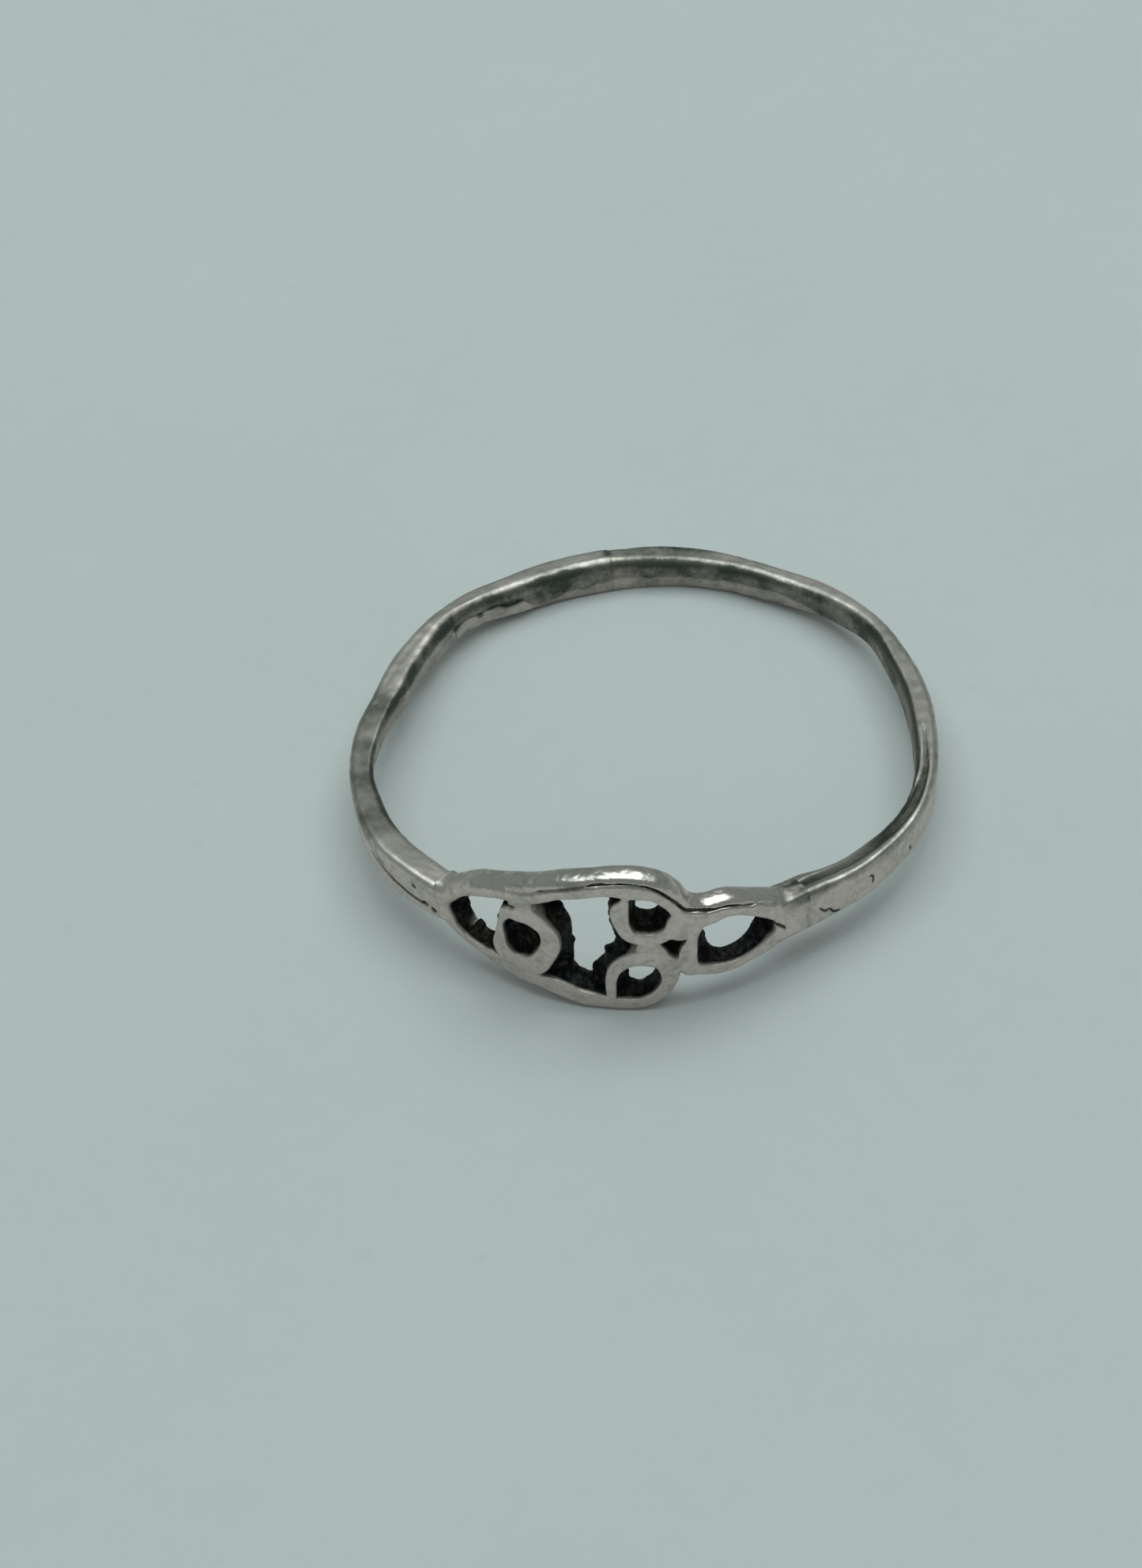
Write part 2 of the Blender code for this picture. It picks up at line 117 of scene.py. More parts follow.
# The rolled moulding along the top of the upper rail: (s, how far the crease lies below its top edge).
CREASE_DROP = (
    (-6.15, 0.24), (-5.4, 0.24), (-4.7, 0.15), (-4.1, 0.17), (-3.4, 0.31), (-2.9, 0.36), (-2.2, 0.3),
    (-1.6, 0.26), (-0.3, 0.25), (0.8, 0.26), (1.65, 0.33), (2.2, 0.2), (3.3, 0.26), (4.4, 0.22),
    (7.8, 0.25),
)
CREASE_GROOVE = 0.032  # half its width
CREASE_WIDER = (0.5, 1.6)  # between these places it grows half as wide again, to the right
CREASE_OVER = 0.02  # how far above the crease the groove runs
CREASE_DEPTH = 0.13
CREASE_LEFT_END = (2.2, 4.2)  # where it blurs away to the left, as places on -s
CREASE_RIGHT_END = (3.4, 5.6)  # and to the right
CREASE_FILLET = 0.03
CREASE_FILLET_END = 0.22  # how much more it is filled where it blurs away
CREASE_UNSHADED_END = 0.4  # how far the painted shade in the crease keeps off there
GROOVE_FILLET = 0.02
ROLL_HEIGHT = 0.29  # half its height
ROLL_HALF = 0.34  # half its depth
ROLL_DEPTH = 0.41  # how deep its middle lies
ROLL_TOP = 0.50  # how deep its highest line lies
ROLL_ARCH = 0.6  # how fast its upper side falls from there, for each mm squared
ROLL_ROUNDING = 0.12
# Past the ends of the upper rail its line carries on through these: (s, z, width).
ROLL_START = ((-7.8, 0.30, 0.5), (-6.9, 0.40, 0.64))
ROLL_END = ((6.9, 0.26, 0.7), (7.8, 0.32, 0.6), (8.4, 0.25, 0.5))

# The plate of the crest, and where its face sinks to meet the band at its ends.
WIRE_FILLET = 0.10  # between one wire and the next
CREST_FILLET = 0.14  # between the crest and the band
PLATE_END = 7.0  # how far the crest's face reaches along the band
PLATE_CORNER = 0.2
FACE_SINK = 0.07
FACE_SINK_START = 5.4
FACE_RIM = 0.12  # rounding of its edges
OPENING_RIM_LOSS = 0.08  # how much less the rims of its openings are rounded

# The walls of the openings, between the face and the inner side of the crest.
ZONE_REACH = 0.4  # how far into the metal an opening is felt
WALL_START = 0.05  # the depth from where they close in
WALL_SHORT = 0.17  # how much less than the crest's thickness they take to do so
WALL_SHARPNESS = 1.5  # how fast they do so from the metal into the opening
WALL_LIMITS = (-0.15, 1)  # the distances to an inner opening that count
RAGGED = (-1.0, 0.0)  # between these places on -s their rims turn ragged, to the left
RAGGED_WAVES = (11, 0.7, 0.02)  # here and below, waves are given by their seed, size and height
FLAKES = (12, 0.5, 0.09)
FLAKE_DEPTHS = (0.28, 0.14)  # above the inner side

# Where the band runs out behind the crest, and how thick the solder is at its shoulders and its seam.
SHANK_ENDS = (4.92, -5.88)
SHANK_END_FILLET = 0.3
SOLDER_FILM = 0.16

# How high the finger keeps the inner wall clean: (angle, height), and the tarnish lies above that line.
WALL_LINE = (
    (-90, -1.6), (30, -1.2), (40, -0.75), (52, -0.4), (62, 0), (70, -0.08), (88, -0.16), (101, -0.15),
    (112, -0.36), (120, -0.46), (123, -0.12), (128, 0), (137, 0.16), (143, 0.28), (165, 0.32),
    (176, 0.8), (232, 0.8),
)
WALL_SCALLOPS = (5, 1.0, 0.05)

# The solder smeared on the clean part of the wall, where the band was cut to size.
SMEAR_ANGLES = (121, 141.5)
SMEAR_DEPTH = 0.14
SMEAR_GAP = 0.08  # how far it keeps off the foot of the wall
SMEAR_CORNER = 0.12
SMEAR_ROUNDING = 0.06
SMEAR_WAVES = (6, 0.7, 0.02)

# The openings on the inner side of the crest, smaller than on its face: (s, z) round each.
BACK_OPENINGS = (
    ((-5.75, 0), (-5.78, -0.3), (-5.7, -0.62), (-5.5, -0.92), (-5.25, -0.9), (-5.05, -1.02),
     (-4.6, -1), (-4.4, -0.7), (-4.35, -0.3), (-4.15, 0.3), (-3.95, 0.85), (-3.85, 1.3), (-3.95, 1.5),
     (-4.4, 1.4), (-5.2, 0.98)),
    ((-2.1, 1.4), (-1.83, 1.04), (-1.71, 0.5), (-1.7, 0), (-1.66, -0.4), (-1.72, -0.85), (-1.7, -1.28),
     (-1.52, -1.42), (-1.12, -1.44), (-1.08, -1.08), (-0.72, -0.68), (-0.6, -0.36), (-0.25, 0.1),
     (-0.3, 0.4), (-0.38, 0.9), (-0.4, 1.3), (-0.35, 2), (-0.55, 2.5), (-1.2, 2.4), (-1.9, 2),
     (-2.3, 1.75)),
    ((0.42, 1.7), (0.5, 1.47), (0.79, 1.33), (1.05, 1.36), (1.2, 1.5), (1.3, 1.8), (1.15, 2.2),
     (0.75, 2.45), (0.45, 2.4)),
    ((0.11, -1.3), (0.08, -1.5), (0.2, -1.69), (0.45, -1.78), (0.72, -1.62), (0.93, -1.4), (1.02, -1),
     (0.9, -0.5), (0.5, -0.4), (0.15, -0.6), (0.05, -1)),
    ((2.7, -0.06), (2.72, -0.33), (2.87, -0.7), (3.13, -0.9), (3.58, -0.93), (4.04, -0.76),
     (4.35, -0.47), (4.6, -0.1), (4.5, 0.2), (4, 0.6), (3.3, 0.85), (2.75, 0.8), (2.5, 0.45)),
)

STEP = 0.04  # spacing of the field's grid
SEAM_S = np.radians(SEAM_ANGLE - CREST_ANGLE) * CREST_RADIUS
AROUND = 2 * np.pi * CREST_RADIUS
MARGIN = 0.9  # how far the grid runs past the seam at each end
FRONT_SPANS = ((-8.0, 8.0), (-2.7, 3.9))  # the front block's reach in s and in z
BAND_START = 4.5  # where the band's two blocks begin, right and left
BAND_SPAN = (-1.2, 1.3)  # and their reach in z
DEPTH_SPAN = (-0.35, 1.45)
FAR = 9.0  # further than any distance that matters
OVERLAP = 0.06  # how far a piece runs on under its neighbours
SINK = 0.08  # how steeply it sinks there
CRISP_REACH = 0.09  # how far the surface is averaged to find its edges
BROAD_REACH = 0.27  # and to find its hollows

# Hammer marks and dents: (stretch along the band, seed, size, height).
DENTS_OF_SIDES = (2, 1, 1.3, 0.012)
DENTS_OF_TOP = (2.5, 2, 1.3, 0.008)
WEAR_OF_SIDES = (1.6, 3, 0.4, 0.003)
WEAR_OF_TOP = (1.6, 4, 0.4, 0.003)

# Scratches, cracks and pits on the outside: the path of each, its width and its depth.
MARKS = (
    (((-3.85, 1.38), (-3.6, 1.42), (-3.33, 1.42)), 0.1, 0.12),
    (((-9.3, 0.13), (-8.4, -0.05), (-7.5, -0.2), (-6.77, -0.25)), 0.09, 0.07),
    (((-7.19, 0.29), (-7.15, 0.27)), 0.12, 0.08),
    (((-6.76, -0.21), (-6.72, -0.23)), 0.14, 0.1),
    (((-6.45, -0.3), (-6.4, -0.33)), 0.14, 0.1),
    (((8.5, 0), (8.62, -0.1), (8.6, -0.3)), 0.07, 0.06),
    (((6.57, -0.24), (6.75, -0.42), (6.9, -0.42), (7.05, -0.6), (7.24, -0.65)), 0.07, 0.06),
    (((10.45, -0.25), (10.5, -0.42)), 0.08, 0.05),
    (((4.95, 0), (5.23, -0.3)), 0.08, 0.08),
)
MARKS_FADE = (0.2, 0.35)  # the depths between which they end
MARKS_DIRT_FADE = (0.3, 0.45)  # and between which their dirt ends
MARKS_DIRT = (0.2, 0.8)  # from where to where it fades, as shares of a mark's width

# The groove along the upper side of the band, right of the crest: (s, depth in the band, width), where a
# width below nothing fades it out.
TOP_GROOVE = (
    (15.4, 0.68, -0.16), (14.8, 0.64, -0.04), (13.8, 0.58, 0.06), (13, 0.52, 0.14), (12.3, 0.54, 0.24),
    (11.4, 0.56, 0.32), (10.2, 0.6, 0.36), (9, 0.64, 0.36), (7.8, 0.66, 0.34), (6.6, 0.66, 0.28),
    (5.6, 0.62, 0),
)
TOP_GROOVE_DEPTH = 0.05
TOP_GROOVE_EDGE = 0.08
TOP_GROOVE_DIRT = (-0.06, 0.08)  # from where to where its dirt fades, past its edge
TOP_GROOVE_DARKNESS = 0.5
UPPER_SIDE = (0.3, 0.4)  # the heights between which the upper side begins
CREASE_SHADE = (0.02, 0.07)  # from where to where the painted shade in the crease fades
CREASE_SHADE_DARKNESS = (0.55, 0.4)  # how dark that painted shade is, and how much of that is lost to the right
# between these places, going right, the painted shade in the crease loses that share
CREASE_SHADE_END = (2.4, 6.0)

# Where the walls of the openings are light far down from the face, the first as painted light on a lit wall
# by the leaf collet, the second worn pale: (s, z, reach).
LIT_AND_WORN_WALLS = ((-2.35, 1.75, 0.55), (0.5, 0.4, 0.5))
LIT_AND_WORN_CORE = 0.3  # the share of the reach that is all pale

# Where the upper side of the band is painted darker as shade, which also dims its highlights: (angle from,
# angle to, how strongly).
SHADED_ARCS = (
    (-56, -44, 0.9), (-45, 36, 0.5), (60, 140, 0.35), (140, 168, 0.2), (77, 103, 0.7), (168, 212, 0.8),
)
SHADED_ARCS_FADE = (5, 4)  # how softly they begin and end, to each side
SHADED_ARCS_HEIGHTS = (0.2, 0.5)  # the heights between which it begins

# Verdigris: (angle, height, depth, reach along the band, reach across it).
GREEN_SPOTS = (
    (102.2, 0.62, 0.30, 0.28, 0.16), (134, 0.04, 0.88, 0.22, 0.14), (141.5, 0.20, 0.85, 0.30, 0.20),
    (126, 0.0, 0.88, 0.75, 0.16), (165.5, -0.32, 0.85, 0.25, 0.18), (216, 0.30, 0.05, 0.35, 0.22),
    (87, 0.66, 0.15, 1.3, 0.35),
)
GREEN_REACH_IN = 0.3  # their reach in depth
GREEN_FADE = (0.4, 1.0)  # from where to where they fade, as shares of their reach

BUMP = 0.000012  # metres
SILVER_COLOUR = (0.70, 0.60, 0.55)
SOLDER_COLOUR = (0.62, 0.54, 0.49)
WORN_SHADE = 0.86  # of the clean metal's darker patches
# the tarnish colours, which also paint the shade in the crease and on the band's upper side
TARNISH_AND_SHADE_COLOURS = ((0.135, 0.125, 0.098), (0.085, 0.092, 0.075))
GREEN_COLOUR = (0.04, 0.075, 0.06)
# black for the soot and the painted shade in the openings, and for the crease's painted shade
SOOT_AND_SHADE_COLOURS = ((0.006, 0.009, 0.013), (0.020, 0.016, 0.013))
FLOOR_COLOUR = (0.66, 0.655, 0.65)
FLOOR_SHADE = 0.96
FLOOR_SIZE = 0.8  # metres
ROOM_COLOUR = (0.82, 1.0, 0.99)
ROOM_STRENGTH = 0.28
# The lamps: (name, place in metres, length and width in metres, brightness, colour).
LAMPS = (
    ("sky_panel", (0.0, 0.12, 0.50), (0.72, 0.36), 1.95, (0.82, 1.0, 0.99)),
    ("side_panel", (0.17, 0.34, 0.50), (0.22, 0.16), 1.4, (0.9, 1.0, 0.98)),
    ("lamp", (0.02, 0.03, 0.50), (0.08, 0.08), 3.5, (0.95, 1.0, 0.97)),
)
CAMERA_AZIMUTH = 10.0
CAMERA_ELEVATION = 48.925
CAMERA_ROLL = -6.429
CAMERA_LENS = 64.5
CAMERA_DISTANCE = 90.0
AIM = (2.38, 1.18)  # where the hoop's centre lies from the middle of the view
CLIP_START = 0.001  # metres


# ---- curves

def smooth_path(points, step=0.04):
    """Points about a step apart on a smooth curve through the given points."""
    p = np.array(points, float)
    knots = np.concatenate([[0], np.cumsum(np.hypot(*np.diff(p[:, :2], axis=0).T) ** 0.5)])
    length = np.hypot(*np.diff(p[:, :2], axis=0).T).sum()
    at = np.linspace(0, knots[-1], int(length / step) + 2)
    return np.stack([cubic(knots, column, at) for column in p.T], axis=1)


def cubic(knots, values, at):
    """A smooth curve through values at the knots, read at other places."""
    chords = np.diff(values) / np.diff(knots)
    spans = np.diff(knots)
    inner = (chords[:-1] * spans[1:] + chords[1:] * spans[:-1]) / (spans[1:] + spans[:-1])
    slope = np.concatenate([[chords[0]], inner, [chords[-1]]])
    i = np.clip(np.searchsorted(knots, at, side="right") - 1, 0, len(knots) - 2)
    t = (at - knots[i]) / spans[i]
    return (
        values[i] * (1 + 2 * t) * (1 - t) ** 2
        + slope[i] * spans[i] * t * (1 - t) ** 2
        + values[i + 1] * t * t * (3 - 2 * t)
        + slope[i + 1] * spans[i] * t * t * (t - 1)
    )


def wrapped(angle):
    """The same angle, from the crest's to a full turn past it."""
    return (angle - CREST_ANGLE) % 360 + CREST_ANGLE


def hoop_radius(angle, wrap=3):
    """Radius of the middle of the metal at these angles."""
    rows = [(a - 360, r) for a, r in HOOP_PLAN[-wrap:]]
    rows += list(HOOP_PLAN) + [(a + 360, r) for a, r in HOOP_PLAN[:wrap]]
    knots, radii = np.array(rows, float).T
    return cubic(knots, radii, wrapped(angle))


def hoop_angle(s):
    """The angle round the hoop at places s along it."""
    return wrapped(CREST_ANGLE + np.degrees(s / CREST_RADIUS))


def shank_section(s):
    """The columns of SHANK after the angle, at places s along the hoop."""
    table = np.array(SHANK, float)
    angle = hoop_angle(s)
    angle = np.where(angle > table[-1, 0], angle - 360, angle)
    angle = np.clip(angle, table[0, 0], table[-1, 0])
    return [cubic(table[:, 0], column, angle) for column in table.T[1:]]


def rolled(points):
    """Points (s, z, d) of the unrolled sheet, rolled up round the hoop and laid on the table, in metres."""
    s, z, d = points.T
    angle = CREST_ANGLE + np.degrees(s / CREST_RADIUS)
    r = hoop_radius(angle) + CREST_FACE - d
    local = np.stack([r * np.cos(np.radians(angle)), r * np.sin(np.radians(angle)), z], axis=1)
    lean = np.radians(LEAN)
    y = local[:, 1] * np.cos(lean) + local[:, 2] * np.sin(lean)
    up = -local[:, 1] * np.sin(lean) + local[:, 2] * np.cos(lean)
    return np.stack([local[:, 0] + SHIFT[0], y + SHIFT[1], up + LIFT], axis=1) * MM


# ---- fields

def ramp(x, low, high):
    """0 below low, 1 above high, smooth between."""
    t = np.clip((x - low) / (high - low), 0, 1)
    return t * t * (3 - 2 * t)


def join(a, b, blend):
    """The union of two fields, with a fillet of about that size."""
    h = np.maximum(blend - np.abs(a - b), 0) / blend
    return np.minimum(a, b) - h * h * blend / 4


def bumps(u, v, seed, size, height, count=32, pitches=(0.6, 1.5), peak=1.6):
    """A smooth random field of two coordinates, with features of about that size and height."""
    rng = np.random.default_rng(seed)
    turn = rng.uniform(0, np.pi, count)
    pitch = 2 * np.pi / size * rng.uniform(*pitches, count)
    shift = rng.uniform(0, 2 * np.pi, count)
    total = 0
    for a, k, b in zip(turn, pitch, shift):
        total = total + np.sin(k * (u * np.cos(a) + v * np.sin(a)) + b)
    return height * (total / (count / 2) ** 0.5 / peak)


def box_2d(x, y, rounding):
    """Distance from a rectangle with rounded corners; x and y are how far past its sides a point is."""
    x, y = x + rounding, y + rounding
    outside = np.hypot(np.maximum(x, 0), np.maximum(y, 0))
    return outside + np.minimum(np.maximum(x, y), 0) - rounding


def wire_distance(line, s, z, margin=1.5):
    """Signed distance from the grid s by z to the edge of a sampled path (s, z, width)."""
    best = np.full((len(s), len(z)), FAR)
    reach = line[:, 2].max() / 2 + margin
    near_s = np.flatnonzero((s > line[:, 0].min() - reach) & (s < line[:, 0].max() + reach))
    near_z = np.flatnonzero((z > line[:, 1].min() - reach) & (z < line[:, 1].max() + reach))
    here = np.full((len(near_s), len(near_z)), FAR)
    for ps, pz, width in line:
        away = np.hypot(s[near_s][:, None] - ps, z[near_z][None, :] - pz) - width / 2
        here = np.minimum(here, away)
    best[np.ix_(near_s, near_z)] = here
    return best


def offset_path(line, aside, width):
    """A sampled path moved to its left, with a new width."""
    run = np.gradient(line[:, :2], axis=0)
    run /= np.linalg.norm(run, axis=1)[:, None]
    left = np.stack([-run[:, 1], run[:, 0]], axis=1)
    return np.column_stack([line[:, :2] + left * np.asarray(aside)[:, None], width])


def opening_distance(outline, s, z):
    """Signed distance to a closed outline, negative inside it."""
    ps, pz = smooth_path([(a, b, 0) for a, b in outline + outline[:1]])[:, :2].T
    ss, zz = np.meshgrid(s, z, indexing="ij")
    nearest = np.full(ss.shape, FAR)
    crossings = np.zeros(ss.shape, int)
    for a, b, c, e in zip(ps[:-1], pz[:-1], ps[1:], pz[1:]):
        nearest = np.minimum(nearest, np.hypot(ss - a, zz - b))
        if b != e:
            crossings += ((zz < b) != (zz < e)) & (ss < a + (c - a) * (zz - b) / (e - b))
    return np.where(crossings % 2 == 1, -nearest, nearest)


def spread(mask):
    """The mask with its four neighbours' values taken in."""
    grown = mask.copy()
    grown[1:] = np.maximum(grown[1:], mask[:-1])
    grown[:-1] = np.maximum(grown[:-1], mask[1:])
    grown[:, 1:] = np.maximum(grown[:, 1:], mask[:, :-1])
    grown[:, :-1] = np.maximum(grown[:, :-1], mask[:, 1:])
    return grown


def hole_zone(flat, reach):
    """1 in the crest's openings, falling to 0 at that distance into the metal; 0 outside the crest."""
    empty = flat > 0
    outside = np.zeros_like(empty)
    outside[0], outside[-1], outside[:, 0], outside[:, -1] = True, True, True, True
    outside &= empty
    while True:
        grown = spread(outside) & empty
        if (grown == outside).all():
            break
        outside = grown
    zone = (empty & ~outside).astype(float)
    steps = int(reach / STEP)
    for _ in range(steps):
        zone = np.maximum(zone, spread(zone) - 1 / steps)
    return zone


# ---- the ring as one field

def shank_outline(s, z):
    """How far each place on the sheet is past the band's edges and past its ends behind the crest."""
    height, rise = shank_section(s)[2:4]
    past_z = np.abs(z[None, :] - rise[:, None]) - height[:, None] / 2
    past_end = np.where(s > 0, SHANK_ENDS[0] - s, s - SHANK_ENDS[1])[:, None]
    return past_z, past_end + 0 * past_z


def crease_drop(line):
    """How far the crease lies below the top edge of the upper rail, along a sampled path."""
    return cubic(*np.array(CREASE_DROP, float).T, line[:, 0])


def crest_slab(s, z, d, wires):
    """The flat metal of the crest, and how far each place is into one of its openings."""
    line = smooth_path(WIRES["upper_rail"])
    drop = crease_drop(line)
    plates = dict(wires)
    plates["upper_rail"] = wire_distance(offset_path(line, -drop / 2, line[:, 2] - drop), s, z)
    past_z, past_end = shank_outline(s, z)
    past_end = np.maximum(past_end, np.abs(s)[:, None] - PLATE_END)
    plates["shank"] = box_2d(past_z, past_end, PLATE_CORNER)
    flat = np.full((len(s), len(z)), FAR)
    for plate in plates.values():
        flat = join(flat, plate, WIRE_FILLET)
    zone = hole_zone(np.minimum(flat, wires["upper_rail"]), ZONE_REACH)

    gaps = [opening_distance(outline, s, z) for outline in BACK_OPENINGS]
    ragged = ramp(-s, *RAGGED)[:, None]
    back = bumps(s[:, None], z[None, :], *RAGGED_WAVES) * ragged - np.min(gaps, axis=0)
    back = np.clip(back, *WALL_LIMITS)[:, :, None]
    deep = np.clip((d - WALL_START) / (CREST_THICKNESS - WALL_SHORT), 0, 1)
    inner = np.minimum(WALL_SHARPNESS * zone, 1)[:, :, None] * deep
    across = flat[:, :, None] + inner * (back - flat[:, :, None])
    flakes = np.maximum(bumps(s[:, None], z[None, :], *FLAKES), 0.0) * ragged
    flaking = ramp(d, *[CREST_THICKNESS - above for above in FLAKE_DEPTHS])
    across -= flakes[:, :, None] * zone[:, :, None] * flaking
    rim = FACE_RIM - OPENING_RIM_LOSS * np.minimum(2 * zone, 1)[:, :, None]
    face = FACE_SINK * ramp(np.abs(s), FACE_SINK_START, PLATE_END)[:, None]
    past_d = np.maximum(face - d, d - CREST_THICKNESS)[:, None, :]
    return box_2d(across, past_d, rim), zone


def moulding(s, z, d):
    """The rolled edge along the top of the upper rail, and the distance on the sheet from its crease."""
    line = smooth_path(ROLL_START + WIRES["upper_rail"] + ROLL_END)
    middle = offset_path(line, line[:, 2] / 2 - ROLL_HEIGHT, np.zeros(len(line)))
    above = z[None, :] > np.interp(s, middle[:, 0], middle[:, 1])[:, None]
    arch = above[:, :, None] * ROLL_ARCH * (d - ROLL_TOP) ** 2
    past_d = np.abs(d - ROLL_DEPTH) - ROLL_HALF
    past_side = wire_distance(middle, s, z)[:, :, None] - ROLL_HEIGHT + arch
    roll = box_2d(past_side, past_d + 0 * arch, ROLL_ROUNDING)
    aside = line[:, 2] / 2 - crease_drop(line) + CREASE_OVER
    return roll, wire_distance(offset_path(line, aside, np.zeros(len(line))), s, z)


def crest_field(s, z, d, wires):
    """The openwork front, how far each place is into an opening, and how far it is from the crease."""
    slab, zone = crest_slab(s, z, d, wires)
    roll, crease = moulding(s, z, d)
    blurring = np.maximum(ramp(-s, *CREASE_LEFT_END), ramp(s, *CREASE_RIGHT_END))[:, None, None]
    width = CREASE_GROOVE * (1 + 0.5 * ramp(s, *CREASE_WIDER)[:, None, None] - 2 * blurring)
    groove = np.hypot(crease[:, :, None], (d - CREASE_DEPTH) / 2) - width
    front = join(slab, roll, CREASE_FILLET + CREASE_FILLET_END * blurring)
    front = -join(-front, groove, GROOVE_FILLET)
    # the distance from the crease grows where it blurs away, so that its painted shade keeps off there
    return front, zone, crease + CREASE_UNSHADED_END * blurring[:, :, 0]


def shank_sides(s, z):
    """How deep the outer and the inner side of the band lie at places on the sheet."""
    section = [column[:, None] for column in shank_section(s)]
    outer, inner, height, rise, _, _, outer_lean, inner_lean = section
    climb = np.clip((z - rise) / height + 0.5, 0, 1)
    return CREST_FACE - outer + outer_lean * climb, CREST_FACE + inner - inner_lean * (1 - climb)


def shank_field(s, z, d):
    """The plain band, which runs out behind the crest at both shoulders."""
    section = [column[:, None] for column in shank_section(s)]
    outer, _, _, rise, slope, rounding, _, _ = section
    past_z, past_end = shank_outline(s, z)
    front, back = [side[:, :, None] for side in shank_sides(s, z)]
    fall = slope * (d - CREST_FACE + outer)
    above = (z > rise)[:, :, None]
    inner = ramp(d, CREST_FACE - ROUNDING_CHANGE, CREST_FACE + ROUNDING_CHANGE)
    upper = OUTER_ROUNDING + (rounding - OUTER_ROUNDING) * inner
    rounding = np.where(above, upper[:, None, :], LOWER_ROUNDING)
    past_side = past_z[:, :, None] + above * fall[:, None, :]
    band = box_2d(past_side, np.maximum(front - d, d - back), rounding)
    return -join(-band, -past_end[:, :, None] + 0 * band, SHANK_END_FILLET)


def wall_line(s):
    """The height of the line between the clean and the tarnished part of the inner wall."""
    heights = np.array(WALL_LINE, float)
    angle = np.clip(hoop_angle(s), heights[0, 0], heights[-1, 0])
    return cubic(*heights.T, angle) + bumps(s, 0 * s, *WALL_SCALLOPS)


def smear_field(s, z, d):
    """The scalloped smear of solder on the inner wall of the band."""
    start, end = [np.radians(a - CREST_ANGLE) * CREST_RADIUS - AROUND for a in SMEAR_ANGLES]
    height, rise = shank_section(s)[2:4]
    low = (rise - height / 2 + SMEAR_GAP)[:, None]
    past_s = np.abs(s - (start + end) / 2) - (end - start) / 2
    past_z = np.maximum(z - wall_line(s)[:, None], low - z)
    flat = box_2d(past_s[:, None] + 0 * past_z, past_z, SMEAR_CORNER)[:, :, None]
    uneven = bumps(s[:, None], z[None, :], *SMEAR_WAVES)
    proud = np.abs(d - (shank_sides(s, z)[1] + uneven)[:, :, None]) - SMEAR_DEPTH / 2
    return box_2d(flat, proud, SMEAR_ROUNDING)


def relief(s, z, d):
    """How far the surface lies below the plain shape: hammer marks, dents and the marks listed above."""
    def dented(across, stretch, *wave):
        return bumps(s[:, None] / stretch, across[None, :], *wave)
    around = dented(z, *DENTS_OF_SIDES)[:, :, None] + dented(d, *DENTS_OF_TOP)[:, None, :]
    fine = dented(z, *WEAR_OF_SIDES)[:, :, None] + dented(d, *WEAR_OF_TOP)[:, None, :]
    outer = np.zeros((len(s), len(z)))
    for path, width, depth in MARKS:
        line = smooth_path([(a, b, 0) for a, b in path])
        outer += depth * (1 - ramp(wire_distance(line, s, z), 0, width))
    total = around + fine + outer[:, :, None] * (1 - ramp(d, *MARKS_FADE))
    away = wire_distance(smooth_path(TOP_GROOVE), s, d)
    groove = TOP_GROOVE_DEPTH * (1 - ramp(away, 0, TOP_GROOVE_EDGE))
    return total + groove[:, None, :] * ramp(z, *UPPER_SIDE)[None, :, None]


# ---- from a field to a mesh

def windows(grid, corners, shape):
    """The grid's values at each of these corners of all its cells."""
    return [grid[tuple(slice(c, c + n) for c, n in zip(corner, shape))] for corner in corners]


def untangled(field, rounds=30):
    """The field without chequered grid faces, where two walls would share an edge.

    The weakest corner of each such face is flipped.
    """
    field = field.copy()
    for _ in range(rounds):
        found = False
        for u, v in ((0, 1), (1, 2), (0, 2)):
            steps = np.eye(3, dtype=int)[[u, v]]
            shape = np.array(field.shape) - steps.sum(axis=0)
            corners = [np.zeros(3, int), steps[0], steps.sum(axis=0), steps[1]]
            a, b, c, e = [view < 0 for view in windows(field, corners, shape)]
            spots = np.argwhere((a == c) & (b == e) & (a != b))
            if not len(spots):
                continue
            found = True
            values = np.stack([field[tuple((spots + corner).T)] for corner in corners])
            weakest = np.abs(values).argmin(axis=0)
            flip = spots + np.array(corners)[weakest]
            field[tuple(flip.T)] = -values[weakest, np.arange(len(spots))]
        if not found:
            break
    return field


